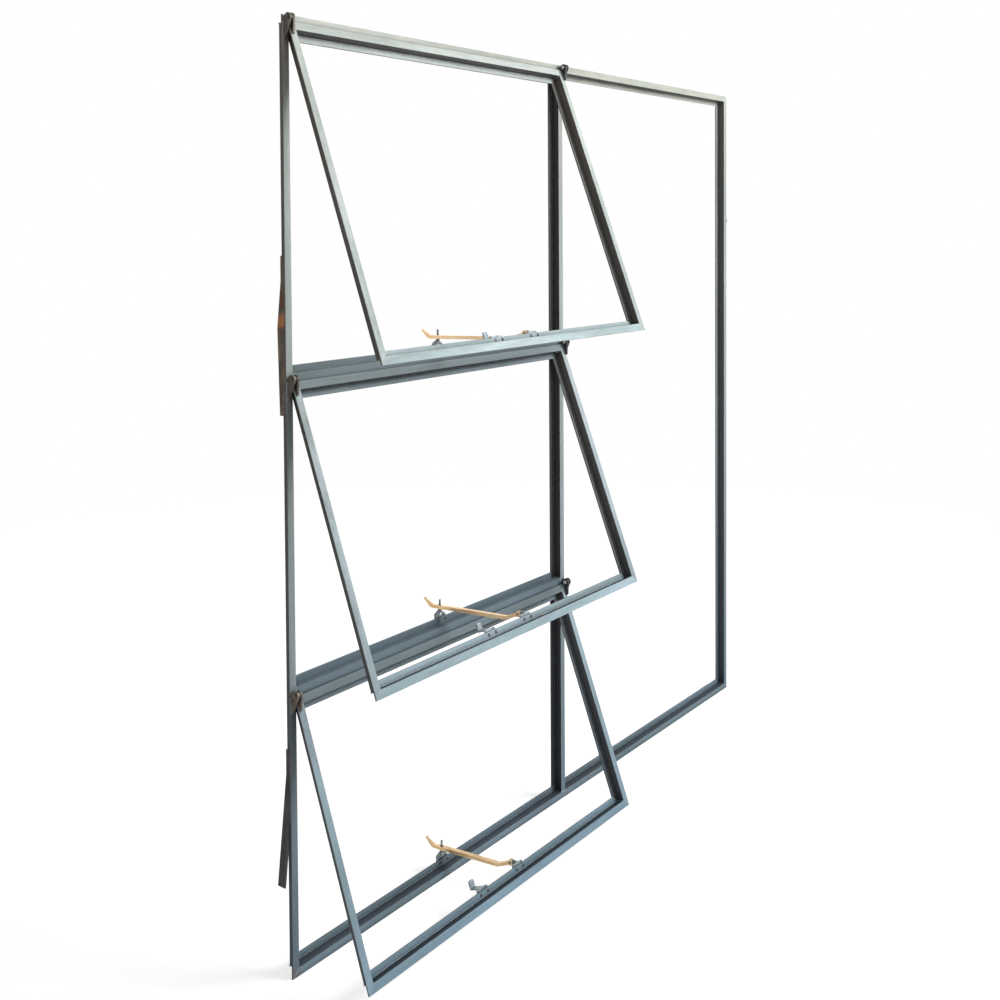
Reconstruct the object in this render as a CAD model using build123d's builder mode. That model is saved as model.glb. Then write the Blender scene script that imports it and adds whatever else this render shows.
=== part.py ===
# Steel window: three top-hung sashes in a column beside one tall fixed light.
# Millimetres. X runs right seen from outside, -Y is outdoors, Z is up.
# The origin is on the underside of the sill's web, at mid width and mid depth.
import os
from math import asin, atan2, cos, radians, sin, sqrt

from build123d import *

os.makedirs("parts", exist_ok=True)

# Overall size
window_width = 1511.0
window_height = 1540.0
upper_sash_height = 565.0
middle_sash_height = 501.0

# Rolled Z section, shared by the outer frame and the sashes
section_depth = 20.0
section_wall = 3.0
flange_reach = 11.0
edge_round = 0.8

# Transoms: one flange outdoors, and indoors a wide one that stops both sashes
transom_face_reach = 13.0
transom_lower_reach = 27.0

# Sashes
sash_gap = 4.5
opening_angles = {"upper": 20.5, "middle": 21.0, "lower": 20.5}
pivot_forward = 10.5
pivot_above_sash = 2.0

# Hinges
hinge_plate = 3.5
hinge_eye_radius = 7.0
hinge_pin_radius = 3.0
hinge_head_radius = 4.2
hinge_head = 2.0
pin_fit = 0.15
bracket_drop = 32.0
bracket_tail = 4.0
bracket_side_gap = 2.5
arm_side_gap = 0.8
sash_arm_drop = 26.0
tail_round = 1.5

# Peg stays: brackets riveted behind the sash's flange
stay_offset = 36.0
stay_skew = 28.0
keeper_offset = 102.0
mount_plate = 2.5
mount_width = 28.0
mount_lap = 9.0
mount_rise = 4.0
mount_round = 3.0
tab_plate = 3.0
tab_root = 1.2
eye_reach = 15.0
eye_rise = 5.0
eye_radius = 5.0
stay_pin_radius = 2.0
stay_pin_end = 1.5
keeper_width = 12.0
keeper_reach = 24.0
keeper_blade = 13.0
keeper_bend = 3.0

# Peg stays: the forked arm with its cranked end and curled handle
fork_gap = 0.3
stay_width = 9.0
stay_height = 6.5
crank_run = 24.0
crank_drop = 10.0
crank_round = 8.0
stay_reach = 20.0
curl_run = 14.0
curl_rise = 15.0
curl_round = 14.0
curl_tip = 3.0
curl_tip_width = 3.4
curl_taper = 34.0
knob_radius = 2.2
knob_width = 5.0

# Peg stays: the peg on its two-legged bracket
stay_seat_gap = 0.7
peg_radius = 2.0
peg_fit = 0.5
peg_slot = 8.0
peg_collar_radius = 3.2
peg_collar = 6.0
peg_lift = 13.5
peg_end = 11.0
peg_plate = 4.0
peg_foot_rise = 2.0
leg_spread = 11.0
leg_round = 4.0
brace_round = 2.0

# Building-in lugs: where each is fixed on its jamb, which way it points,
# and its runs, each with its length and its tilt away from the jamb
lug_width = 16.0
lug_plate = 3.0
lug_foot = 40.0
lug_bend = 10.0
lugs_on_jambs = {
    "left": (
        (1110.0, -1, ((75.0, 6.0), (140.0, -1.5))),
        (316.0, -1, ((175.0, 6.6),)),
    ),
    "right": (
        (1190.0, 1, ((30.0, 42.0),)),
        (316.0, -1, ((175.0, 2.0),)),
    ),
}

# Derived places
half_width = window_width / 2
face_y = -section_depth / 2
room_y = section_depth / 2
web_inset = flange_reach + section_wall
bottom_z = -flange_reach
top_z = bottom_z + window_height
section_width = 2 * flange_reach + section_wall
transom_face = transom_face_reach + section_wall
sash_lap = flange_reach - sash_gap
sash_left = -half_width + web_inset - sash_lap
sash_right = -section_wall / 2 + sash_lap
sash_top_drop = transom_face + sash_gap - flange_reach
top_line = top_z - web_inset + sash_lap
sill_line = section_wall - sash_lap
upper_transom_z = top_line - upper_sash_height + sash_lap
middle_line = upper_transom_z - sash_top_drop
lower_transom_z = middle_line - middle_sash_height + sash_lap
lower_line = lower_transom_z - sash_top_drop
stay_x = (sash_left + sash_right) / 2 + stay_offset
peg_x = stay_x - stay_skew

pivot_y = face_y - pivot_forward
sash_face = pivot_forward - section_wall
sash_inner_face = sash_face + section_depth


def plane_in(seat, point, x_dir, z_dir):
    # plane at a point of a seat, with its directions given along the seat's own axes
    origin = seat.from_local_coords(Vector(*point))
    x_tip = seat.from_local_coords(Vector(*point) + Vector(*x_dir))
    z_tip = seat.from_local_coords(Vector(*point) + Vector(*z_dir))
    return Plane(origin=origin, x_dir=x_tip - origin, z_dir=z_tip - origin)


def z_section(face):
    # local x runs from the outer edge inwards, local y from outdoors to the room
    back = face + section_depth
    with BuildSketch() as section:
        with BuildLine():
            Polyline(
                (0, face),
                (web_inset, face),
                (web_inset, back - section_wall),
                (section_width, back - section_wall),
                (section_width, back),
                (flange_reach, back),
                (flange_reach, face + section_wall),
                (0, face + section_wall),
                close=True,
            )
        make_face()
        outer_tip, outer_web, inner_web, inner_tip = section.vertices().group_by(Axis.X)
        heel = outer_web.sort_by(Axis.Y)[-1:] + inner_web.sort_by(Axis.Y)[:1]
        fillet(outer_tip + inner_tip + heel, radius=edge_round)
    return section.sketch


def ring_bars(seat, left, right, foot, head, face):
    # four mitred bars of Z section around a rectangle: sill, head, left and right
    corners = {
        "bottom": ((left, 0, foot), (0, 0, 1), (-1, 0, 0), (right, 0, foot)),
        "top": ((left, 0, head), (0, 0, -1), (1, 0, 0), (right, 0, head)),
        "left": ((left, 0, foot), (1, 0, 0), (0, 0, 1), (left, 0, head)),
        "right": ((right, 0, foot), (-1, 0, 0), (0, 0, -1), (right, 0, head)),
    }
    bars = {}
    for side, (start, inward, along, end) in corners.items():
        run = Vector(*end) - Vector(*start)
        reverse = side in ("bottom", "right")
        origin = end if reverse else start
        with BuildPart() as bar:
            with BuildSketch(plane_in(seat, origin, inward, along)):
                add(z_section(face))
            extrude(amount=run.length)
            for corner, back in ((start, run), (end, run * -1)):
                keep = back.normalized() - Vector(*inward)
                cut = plane_in(seat, corner, (0, 1, 0), tuple(keep))
                split(bisect_by=cut, keep=Keep.TOP)
        bars[side] = bar
    return bars


def save(builder, name):
    builder.part.label = name
    export_step(builder.part, f"parts/{name}.step")


# Outer frame, mitred and welded at the corners
frame_bars = ring_bars(Plane.XY, -half_width, half_width, bottom_z, top_z, face_y)
frame_names = {"bottom": "frame_sill", "top": "frame_head", "left": "left_jamb", "right": "right_jamb"}
for side, name in frame_names.items():
    save(frame_bars[side], name)

# Mullion between the sashes and the fixed light, notched over the sill and the head
mullion_side = section_wall / 2
mullion_edge = mullion_side + flange_reach
with BuildPart() as mullion:
    with BuildSketch(Plane.XY.offset(section_wall)) as mullion_section:
        with BuildLine():
            Polyline(
                (-mullion_side, face_y),
                (mullion_edge, face_y),
                (mullion_edge, face_y + section_wall),
                (mullion_side, face_y + section_wall),
                (mullion_side, room_y - section_wall),
                (mullion_edge, room_y - section_wall),
                (mullion_edge, room_y),
                (-mullion_edge, room_y),
                (-mullion_edge, room_y - section_wall),
                (-mullion_side, room_y - section_wall),
                close=True,
            )
        make_face()
        edges_of_flanges = mullion_section.vertices().group_by(Axis.X)
        fillet(edges_of_flanges[0] + edges_of_flanges[-1], radius=edge_round)
    extrude(amount=top_z - web_inset - section_wall)
    with Locations(
        (0, room_y - section_wall / 2, section_wall + flange_reach / 2),
        (0, room_y - section_wall / 2, top_z - web_inset - flange_reach / 2),
    ):
        Box(section_width, section_wall, flange_reach, mode=Mode.SUBTRACT)
save(mullion, "mullion")

# Transoms between the sashes, notched over the jamb and the mullion
transom_left = -half_width + web_inset
transom_right = -mullion_side
notch_height = transom_lower_reach + flange_reach
for name, level in (("upper_transom", upper_transom_z), ("lower_transom", lower_transom_z)):
    with BuildPart() as transom:
        seat = Plane(origin=(transom_left, 0, level), x_dir=(0, 1, 0), z_dir=(1, 0, 0))
        with BuildSketch(seat) as transom_section:
            with BuildLine():
                Polyline(
                    (face_y, 0),
                    (room_y - section_wall, 0),
                    (room_y - section_wall, flange_reach),
                    (room_y, flange_reach),
                    (room_y, -transom_lower_reach),
                    (room_y - section_wall, -transom_lower_reach),
                    (room_y - section_wall, -section_wall),
                    (face_y + section_wall, -section_wall),
                    (face_y + section_wall, -transom_face),
                    (face_y, -transom_face),
                    close=True,
                )
            make_face()
            levels = transom_section.vertices().group_by(Axis.Y)
            heel = transom_section.vertices().sort_by(Axis.X).group_by(Axis.X)[0].sort_by(Axis.Y)[-1:]
            fillet(levels[0] + levels[1] + levels[-1] + heel, radius=edge_round)
        extrude(amount=transom_right - transom_left)
        notch_z = level + flange_reach - notch_height / 2
        with Locations(
            (transom_left + flange_reach / 2, room_y - section_wall / 2, notch_z),
            (transom_right - flange_reach / 2, room_y - section_wall / 2, notch_z),
        ):
            Box(flange_reach, section_wall, notch_height, mode=Mode.SUBTRACT)
    save(transom, name)

# Sashes, hung at the top and held open, each with its hinges and its peg stay:
# the line of the sash's top, its height, and the level of the web that it shuts down to
lower_sash_height = lower_line - sill_line
rows = {
    "upper": (top_line, upper_sash_height, upper_transom_z),
    "middle": (middle_line, middle_sash_height, lower_transom_z),
    "lower": (lower_line, lower_sash_height, section_wall),
}
bar_names = {
    "bottom": "sash_bottom_rail",
    "top": "sash_top_rail",
    "left": "sash_left_stile",
    "right": "sash_right_stile",
}
for row, (sash_top, sash_height, stop_z) in rows.items():
    angle = radians(opening_angles[row])
    pivot_z = sash_top + pivot_above_sash
    sash_foot = -pivot_above_sash - sash_height
    seat = Plane(origin=(0, pivot_y, pivot_z), x_dir=(1, 0, 0), z_dir=(0, sin(angle), cos(angle)))
    sash = ring_bars(seat, sash_left, sash_right, sash_foot, -pivot_above_sash, sash_face)
    for side, name in bar_names.items():
        save(sash[side], f"{row}_{name}")

    # hinges: a bracket with the pin on the frame, an arm on the sash, both teardrops
    for side, edge, turn in (("left", sash_left, 1), ("right", sash_right, -1)):
        bracket_x = edge - turn * (bracket_side_gap + hinge_plate / 2)
        arm_x = edge + turn * (arm_side_gap + hinge_plate / 2)
        with BuildPart() as bracket:
            with BuildSketch(Plane(origin=(bracket_x, pivot_y, pivot_z), x_dir=(0, 1, 0), z_dir=(1, 0, 0))) as drop:
                Circle(hinge_eye_radius)
                with Locations((pivot_forward - bracket_tail / 2, -bracket_drop / 2)):
                    Rectangle(bracket_tail, bracket_drop)
                make_hull()
                fillet(drop.vertices().group_by(Axis.Y)[0].sort_by(Axis.X)[0], radius=tail_round)
            extrude(amount=hinge_plate / 2, both=True)
            pin_start = bracket_x - turn * (hinge_plate / 2 + hinge_head)
            pin_stop = arm_x + turn * (hinge_plate / 2 + hinge_head)
            with BuildSketch(Plane(origin=(pin_start, pivot_y, pivot_z), x_dir=(0, 1, 0), z_dir=(turn, 0, 0))):
                Circle(hinge_pin_radius)
            extrude(amount=abs(pin_stop - pin_start))
            with BuildSketch(Plane(origin=(pin_stop, pivot_y, pivot_z), x_dir=(0, 1, 0), z_dir=(-turn, 0, 0))):
                Circle(hinge_head_radius)
            extrude(amount=hinge_head - pin_fit)
        save(bracket, f"{row}_{side}_hinge_bracket")

        with BuildPart() as arm:
            with BuildSketch(plane_in(seat, (arm_x, 0, 0), (0, 1, 0), (1, 0, 0))) as drop:
                Circle(hinge_eye_radius)
                arm_middle = -(pivot_above_sash + sash_arm_drop) / 2
                with Locations((sash_face - bracket_tail / 2, arm_middle)):
                    Rectangle(bracket_tail, sash_arm_drop - pivot_above_sash)
                make_hull()
                fillet(drop.vertices().group_by(Axis.Y)[0].sort_by(Axis.X)[0], radius=tail_round)
                Circle(hinge_pin_radius + pin_fit, mode=Mode.SUBTRACT)
            extrude(amount=hinge_plate / 2, both=True)
        save(arm, f"{row}_{side}_hinge_arm")

    # pivot bracket of the stay: a riveted plate with an upright tab and its pin
    flange_top = sash_foot + section_width
    eye_y = sash_inner_face + eye_reach
    eye_z = flange_top + eye_rise
    plate_middle = flange_top + (mount_rise - mount_lap) / 2
    hold = seat.from_local_coords(Vector(stay_x, eye_y, eye_z))
    stop_top = stop_z + flange_reach
    peg_y = room_y + peg_plate / 2
    rest_z = stop_top + peg_lift + stay_seat_gap + stay_height / 2
    swing = atan2(stay_skew, (peg_y - hold.Y) * cos(angle) - (rest_z - hold.Z) * sin(angle))
    swung_across = (cos(swing), sin(swing), 0)
    swung_back = (-sin(swing), cos(swing), 0)
    with BuildPart() as stay_pivot:
        with BuildSketch(plane_in(seat, (stay_x, sash_inner_face, plate_middle), (1, 0, 0), (0, 1, 0))) as plate:
            Rectangle(mount_width, mount_lap + mount_rise)
            fillet(plate.vertices().group_by(Axis.Y)[0], radius=mount_round)
        extrude(amount=mount_plate)
        with BuildSketch(plane_in(seat, (stay_x, eye_y, eye_z), swung_back, swung_across)):
            Circle(eye_radius)
            with Locations(((mount_plate / 2 - eye_reach) / cos(swing), plate_middle - eye_z)):
                Rectangle(tab_root, mount_lap + mount_rise)
            make_hull()
        extrude(amount=tab_plate / 2, both=True)
        with BuildSketch(plane_in(seat, (stay_x, eye_y, eye_z), swung_back, swung_across)):
            Circle(stay_pin_radius)
        extrude(amount=stay_width / 2 + stay_pin_end, both=True)
    save(stay_pivot, f"{row}_stay_pivot")

    # peg on two splayed legs, on the room side of the flange that stops the sash
    apex = peg_lift - peg_collar / 2
    foot_height = mount_lap + peg_foot_rise
    with BuildPart() as peg:
        with BuildSketch(Plane(origin=(peg_x, room_y + peg_plate, stop_top), x_dir=(1, 0, 0), z_dir=(0, -1, 0))):
            with BuildSketch(mode=Mode.PRIVATE) as left_leg:
                with Locations((0, apex)):
                    Circle(peg_collar_radius)
                with Locations((-leg_spread, leg_round)):
                    Circle(leg_round)
                make_hull()
            with BuildSketch(mode=Mode.PRIVATE) as right_leg:
                with Locations((0, apex)):
                    Circle(brace_round)
                with Locations((leg_spread, brace_round)):
                    Circle(brace_round)
                make_hull()
            add(left_leg.sketch)
            add(right_leg.sketch)
            with Locations((0, peg_foot_rise - foot_height / 2)):
                Rectangle(mount_width, foot_height)
        extrude(amount=peg_plate)
        with BuildSketch(Plane(origin=(peg_x, peg_y, stop_top + peg_lift - peg_collar))):
            Circle(peg_collar_radius)
        extrude(amount=peg_collar)
        with BuildSketch(Plane(origin=(peg_x, peg_y, stop_top + peg_lift))):
            Circle(peg_radius)
        extrude(amount=stay_seat_gap + stay_height + peg_end)
    save(peg, f"{row}_stay_peg")

    # stay arm, from the sash's pivot down its crank and over the peg to its curled handle
    to_peg = Vector(peg_x, peg_y, rest_z) - hold
    span = sqrt(to_peg.length**2 - crank_drop**2)
    straight = plane_in(seat, (stay_x, eye_y, eye_z), swung_back, swung_across)
    lead = atan2(to_peg.dot(straight.y_dir), to_peg.dot(straight.x_dir)) + asin(crank_drop / to_peg.length)
    arm_seat = plane_in(straight, (0, 0, 0), (cos(lead), sin(lead), 0), (0, 0, 1))
    handle = span + stay_reach
    underside = -crank_drop - stay_height / 2
    upside = -crank_drop + stay_height / 2
    with BuildPart() as stay_arm:
        with BuildSketch(arm_seat):
            with BuildLine():
                lower = FilletPolyline(
                    (0, -stay_height / 2),
                    (crank_run, underside),
                    (handle, underside),
                    (handle + curl_run, underside + curl_rise),
                    radius=(crank_round, curl_round),
                )
                upper = FilletPolyline(
                    (0, stay_height / 2),
                    (crank_run, upside),
                    (handle - curl_tip, upside),
                    (handle + curl_run - curl_tip, underside + curl_rise),
                    radius=(crank_round, curl_round - stay_height),
                )
                Line(lower @ 0, upper @ 0)
                Line(lower @ 1, upper @ 1)
            make_face()
            Circle(eye_radius)
            Circle(stay_pin_radius + pin_fit, mode=Mode.SUBTRACT)
        extrude(amount=stay_width / 2, both=True)
        taper_start = handle + curl_run - curl_taper
        taper_end = handle + curl_run + curl_tip
        with BuildSketch(plane_in(arm_seat, (0, 0, 0), (1, 0, 0), (0, -1, 0))):
            for flank in (-1, 1):
                with BuildLine():
                    Polyline(
                        (taper_start, flank * stay_width / 2),
                        (taper_end, flank * curl_tip_width / 2),
                        (taper_end, flank * stay_width),
                        (taper_start, flank * stay_width),
                        close=True,
                    )
                make_face()
        extrude(amount=curl_rise + crank_drop + stay_height, both=True, mode=Mode.SUBTRACT)
        with BuildSketch(arm_seat):
            Circle(eye_radius + fork_gap)
        extrude(amount=tab_plate / 2 + fork_gap, both=True, mode=Mode.SUBTRACT)
        with BuildSketch(plane_in(arm_seat, (span, -crank_drop, 0), (1, 0, 0), (0, 1, 0))):
            SlotOverall(peg_slot, 2 * (peg_radius + peg_fit))
        extrude(amount=stay_height, both=True, mode=Mode.SUBTRACT)
        with BuildSketch(arm_seat):
            with Locations((handle + curl_run - curl_tip / 2, underside + curl_rise)):
                Circle(knob_radius)
        extrude(amount=knob_width / 2, both=True)
    save(stay_arm, f"{row}_stay_arm")

    # keeper that holds the arm when the sash is shut: a bent strip with a rounded blade
    keeper_x = stay_x - keeper_offset
    neck = flange_top + mount_rise
    with BuildPart() as keeper:
        with BuildSketch(plane_in(seat, (keeper_x, sash_inner_face, plate_middle), (1, 0, 0), (0, 1, 0))) as plate:
            Rectangle(mount_width, mount_lap + mount_rise)
            fillet(plate.vertices().group_by(Axis.Y)[0], radius=mount_round)
        extrude(amount=mount_plate)
        with BuildSketch(plane_in(seat, (keeper_x, sash_inner_face, 0), (0, 1, 0), (1, 0, 0))):
            with BuildLine():
                FilletPolyline(
                    (mount_plate, neck - mount_lap),
                    (mount_plate, neck - mount_plate),
                    (keeper_reach, neck - mount_plate),
                    (keeper_reach, neck + keeper_blade),
                    radius=keeper_bend,
                )
                offset(amount=mount_plate, side=Side.LEFT)
            make_face()
        extrude(amount=keeper_width / 2, both=True)
        blade_edges = keeper.edges().filter_by(lambda edge: abs(edge.length - mount_plate) < pin_fit)
        tip = seat.from_local_coords(Vector(keeper_x, sash_inner_face + keeper_reach, neck + keeper_blade))
        fillet(blade_edges.sort_by_distance(tip)[:2], radius=mount_round)
    save(keeper, f"{row}_stay_keeper")

# Building-in lugs, bent strips fixed to the webs of the jambs, behind the outdoor flange
lug_y = section_wall / 2
for side, turn in (("left", -1), ("right", 1)):
    with BuildPart() as lugs:
        for level, way, runs in lugs_on_jambs[side]:
            path = [(0, -lug_foot), (0, 0)]
            for length, tilt in runs:
                lean = radians(tilt)
                path.append((path[-1][0] + length * sin(lean), path[-1][1] + length * cos(lean)))
            web_x = turn * (half_width - flange_reach)
            across = turn * way
            with BuildSketch(Plane(origin=(web_x, lug_y, level), x_dir=(turn, 0, 0), z_dir=(0, -across, 0))):
                with BuildLine():
                    FilletPolyline(*path, radius=lug_bend)
                    offset(amount=lug_plate, side=Side.RIGHT)
                make_face()
            extrude(amount=lug_width / 2, both=True)
    save(lugs, f"{side}_lugs")
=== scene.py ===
import math
import random
import bmesh
import bpy
from mathutils import Matrix, Vector


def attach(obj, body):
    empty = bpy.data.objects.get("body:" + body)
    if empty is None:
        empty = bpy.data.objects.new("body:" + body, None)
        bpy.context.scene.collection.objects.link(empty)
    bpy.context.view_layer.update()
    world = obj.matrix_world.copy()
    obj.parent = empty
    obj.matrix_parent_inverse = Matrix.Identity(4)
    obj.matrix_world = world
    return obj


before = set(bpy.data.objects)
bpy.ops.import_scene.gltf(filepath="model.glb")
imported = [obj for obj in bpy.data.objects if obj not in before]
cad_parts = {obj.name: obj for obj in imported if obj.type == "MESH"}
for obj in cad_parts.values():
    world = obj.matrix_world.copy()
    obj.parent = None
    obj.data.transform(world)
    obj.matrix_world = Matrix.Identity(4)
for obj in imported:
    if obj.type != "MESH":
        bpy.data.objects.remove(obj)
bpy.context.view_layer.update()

scene = bpy.context.scene
print("frame loaded:", len(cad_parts), "nodes")


# camera at the photograph's viewing angle: outdoors, left of the window
view = {
    "place": (-2.0103, -1.4095, 1.1886),
    "turn": 0.912,  # radians from straight at the wall towards +X
    "pitch": -0.030,
    "roll": -0.006,
    "focal": 1176.0,  # in pixels of the picture
    "axisRow": 265.4,  # the row of pixels that the lens looks straight at
    "picture": 1000.0,  # pixels along a side
    "sensor": 36.0,
    "farthest": 60.0,
}


def placeCamera():
    cameraData = bpy.data.cameras.new("viewCamera")
    cameraData.sensor_width = view["sensor"]
    cameraData.lens = view["focal"] * view["sensor"] / view["picture"]
    cameraData.shift_y = (view["axisRow"] - view["picture"] / 2) / view["picture"]
    cameraData.clip_end = view["farthest"]
    cameraObject = bpy.data.objects.new("viewCamera", cameraData)
    scene.collection.objects.link(cameraObject)
    aim = Matrix.Rotation(-view["turn"], 4, "Z")
    aim = aim @ Matrix.Rotation(math.pi / 2 + view["pitch"], 4, "X")
    aim = aim @ Matrix.Rotation(view["roll"], 4, "Z")
    cameraObject.matrix_world = Matrix.Translation(view["place"]) @ aim
    scene.camera = cameraObject


placeCamera()


# places that the finishes and the added pieces share, in metres
barSection = {
    "depth": 0.020,
    "wall": 0.003,
    "reach": 0.011,  # from the outer edge to the tip of the outer flange
    "webInset": 0.014,
    "width": 0.025,
}
frameEdges = {"left": -0.7555, "right": 0.7555, "foot": -0.011, "head": 1.529, "face": -0.010}
sashEdges = {"left": -0.748, "right": 0.005, "pivotY": -0.0205, "pivotAbove": 0.002, "face": 0.0075}
sashRows = {
    "upper": {"top": 1.5215, "height": 0.565, "angle": 20.5, "stop": 0.963},
    "middle": {"top": 0.9535, "height": 0.501, "angle": 21.0, "stop": 0.459},
    "lower": {"top": 0.4495, "height": 0.453, "angle": 20.5, "stop": 0.003},
}


def sashSeat(row):
    # the sash's own axes: x along the rails, y towards the room, z up the stiles
    lean = math.radians(sashRows[row]["angle"])
    across = Vector((0.0, math.cos(lean), -math.sin(lean)))
    up = Vector((0.0, math.sin(lean), math.cos(lean)))
    origin = Vector((0.0, sashEdges["pivotY"], sashRows[row]["top"] + sashEdges["pivotAbove"]))
    seat = Matrix((Vector((1.0, 0.0, 0.0)), across, up)).transposed().to_4x4()
    seat.translation = origin
    return seat


# helpers for nodes: x and y only lay the nodes out in the editor
def addNode(tree, kind, x, y, **settings):
    node = tree.nodes.new(kind)
    node.location = (x, y)
    for key, value in settings.items():
        setattr(node, key, value)
    return node


def fill(node, **values):
    for key, value in values.items():
        node.inputs[key.replace("_", " ")].default_value = value
    return node


def plug(tree, value, socket):
    # a number or a colour is set on the socket, and anything else is linked to it
    if isinstance(value, (int, float, tuple)):
        socket.default_value = value
    else:
        tree.links.new(value, socket)


def colour(red, green, blue):
    # from the 0-255 values that a screen shows to the linear ones that shaders use
    linear = []
    for value in (red, green, blue):
        part = value / 255.0
        linear.append(part / 12.92 if part <= 0.04045 else ((part + 0.055) / 1.055) ** 2.4)
    return (*linear, 1.0)


def mathNode(tree, operation, x, y, first=None, second=None, third=None, clamp=False):
    node = addNode(tree, "ShaderNodeMath", x, y, operation=operation, use_clamp=clamp)
    for index, value in enumerate((first, second, third)):
        if value is not None:
            plug(tree, value, node.inputs[index])
    return node.outputs[0]


def vectorNode(tree, operation, x, y, first, second=None):
    node = addNode(tree, "ShaderNodeVectorMath", x, y, operation=operation)
    plug(tree, first, node.inputs[0])
    if second is not None:
        plug(tree, second, node.inputs[1])
    return node.outputs["Value" if operation in ("DOT_PRODUCT", "DISTANCE", "LENGTH") else "Vector"]


def ramp(tree, value, x, y, low, high):
    # 0 up to the low value, a soft step, and 1 from the high value
    node = addNode(tree, "ShaderNodeMapRange", x, y, interpolation_type="SMOOTHSTEP")
    fill(node, From_Min=low, From_Max=high)
    plug(tree, value, node.inputs["Value"])
    return node.outputs["Result"]


def mixColour(tree, x, y, factor, under, over, blend="MIX"):
    node = addNode(tree, "ShaderNodeMix", x, y, data_type="RGBA", blend_type=blend)
    for index, value in ((0, factor), (6, under), (7, over)):
        plug(tree, value, node.inputs[index])
    return node.outputs[2]


def objectPlace(tree):
    return addNode(tree, "ShaderNodeTexCoord", -900, -300).outputs["Object"]


def addNoise(tree, x, y, place, scale, seed=None, **values):
    dimensions = "3D" if seed is None else "4D"
    node = fill(addNode(tree, "ShaderNodeTexNoise", x, y, noise_dimensions=dimensions), **values)
    plug(tree, place, node.inputs["Vector"])
    plug(tree, scale, node.inputs["Scale"])
    if seed is not None:
        plug(tree, seed, node.inputs["W"])
    return node.outputs["Fac"]


def startGroup(name, inputs, outputs):
    tree = bpy.data.node_groups.new(name, "ShaderNodeTree")
    kinds = {"value": "NodeSocketFloat", "colour": "NodeSocketColor", "vector": "NodeSocketVector"}
    for label, kind, start in inputs:
        socket = tree.interface.new_socket(name=label, in_out="INPUT", socket_type=kinds[kind])
        socket.default_value = start
    for label, kind in outputs:
        tree.interface.new_socket(name=label, in_out="OUTPUT", socket_type=kinds[kind])
    entry = addNode(tree, "NodeGroupInput", -900, 0)
    leave = addNode(tree, "NodeGroupOutput", 900, 0)
    return tree, entry, leave


def putOutMask(tree, entry, leave, mask):
    # the mask times the group's amount, kept between 0 and 1
    amount = mathNode(tree, "MULTIPLY", 650, 0, mask, entry.outputs["Amount"], clamp=True)
    plug(tree, amount, leave.inputs["Mask"])


def useGroup(tree, group, x, y, **values):
    node = addNode(tree, "ShaderNodeGroup", x, y)
    node.node_tree = group
    return fill(node, **values)


# the bright line along rolled and cut edges, where a fine rounding would turn the surface: partly a painted
# highlight in place of the light that the rounding would catch, partly wear
edgeWearAndHighlight = {
    "samples": 6,
    "bend": (0.02, 0.22),  # turn of the surface where the line starts, and where it is full
    "patch": (0.16, 0.56),  # noise that leaves the line dull, and noise that lets it shine
    "noise": {"Detail": 6.0, "Roughness": 0.62},
}


def makeWornAndLitEdges():
    tree, entry, leave = startGroup(
        "wornAndLitEdges",
        [("Radius", "value", 0.0012), ("Breakup", "value", 60.0), ("Amount", "value", 1.0)],
        [("Mask", "value")],
    )
    rounded = addNode(tree, "ShaderNodeBevel", -600, 200, samples=edgeWearAndHighlight["samples"])
    plug(tree, entry.outputs["Radius"], rounded.inputs["Radius"])
    surface = addNode(tree, "ShaderNodeNewGeometry", -600, 0)
    facing = vectorNode(tree, "DOT_PRODUCT", -400, 100, rounded.outputs["Normal"], surface.outputs["Normal"])
    bend = mathNode(tree, "SUBTRACT", -200, 100, 1.0, facing)
    noise = addNoise(tree, -600, -300, objectPlace(tree), entry.outputs["Breakup"], **edgeWearAndHighlight["noise"])
    edge = ramp(tree, bend, 0, 100, *edgeWearAndHighlight["bend"])
    patch = ramp(tree, noise, 0, -200, *edgeWearAndHighlight["patch"])
    putOutMask(tree, entry, leave, mathNode(tree, "MULTIPLY", 250, 0, edge, patch))
    return tree


# soiling and painted shade in the channels of the sections: darker where ambient occlusion finds a hollow, where
# shade would fall
hollowDirtAndShade = {
    "samples": 8,
    "shade": (0.12, 0.62),
    "stain": (0.25, 0.75),
    "stained": (0.5, 0.6),  # what a stain adds to the dirt, and what is there without one
    "noise": {"Detail": 5.0, "Roughness": 0.6},
}


def makeCornerGrimeAndShade():
    tree, entry, leave = startGroup(
        "cornerGrimeAndShade",
        [("Reach", "value", 0.016), ("Amount", "value", 1.0), ("Speckle", "value", 140.0)],
        [("Mask", "value")],
    )
    hollow = addNode(tree, "ShaderNodeAmbientOcclusion", -600, 200, samples=hollowDirtAndShade["samples"])
    plug(tree, entry.outputs["Reach"], hollow.inputs["Distance"])
    shade = mathNode(tree, "SUBTRACT", -350, 200, 1.0, hollow.outputs["AO"])
    noise = addNoise(tree, -600, -200, objectPlace(tree), entry.outputs["Speckle"], **hollowDirtAndShade["noise"])
    stain = ramp(tree, noise, -350, -200, *hollowDirtAndShade["stain"])
    part = mathNode(tree, "MULTIPLY_ADD", -100, -200, stain, *hollowDirtAndShade["stained"])
    shade = ramp(tree, shade, -100, 200, *hollowDirtAndShade["shade"])
    putOutMask(tree, entry, leave, mathNode(tree, "MULTIPLY", 150, 0, shade, part))
    return tree


# soft cloudy patches, drawn out along the bar by the stretch
cloudShape = {
    "contrast": (0.3, 0.7),
    "finer": 9.0,  # the fine clouds' scale over the broad ones'
    "broad": {"Detail": 5.0, "Roughness": 0.55},
    "fine": {"Detail": 6.0, "Roughness": 0.7},
}


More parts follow.
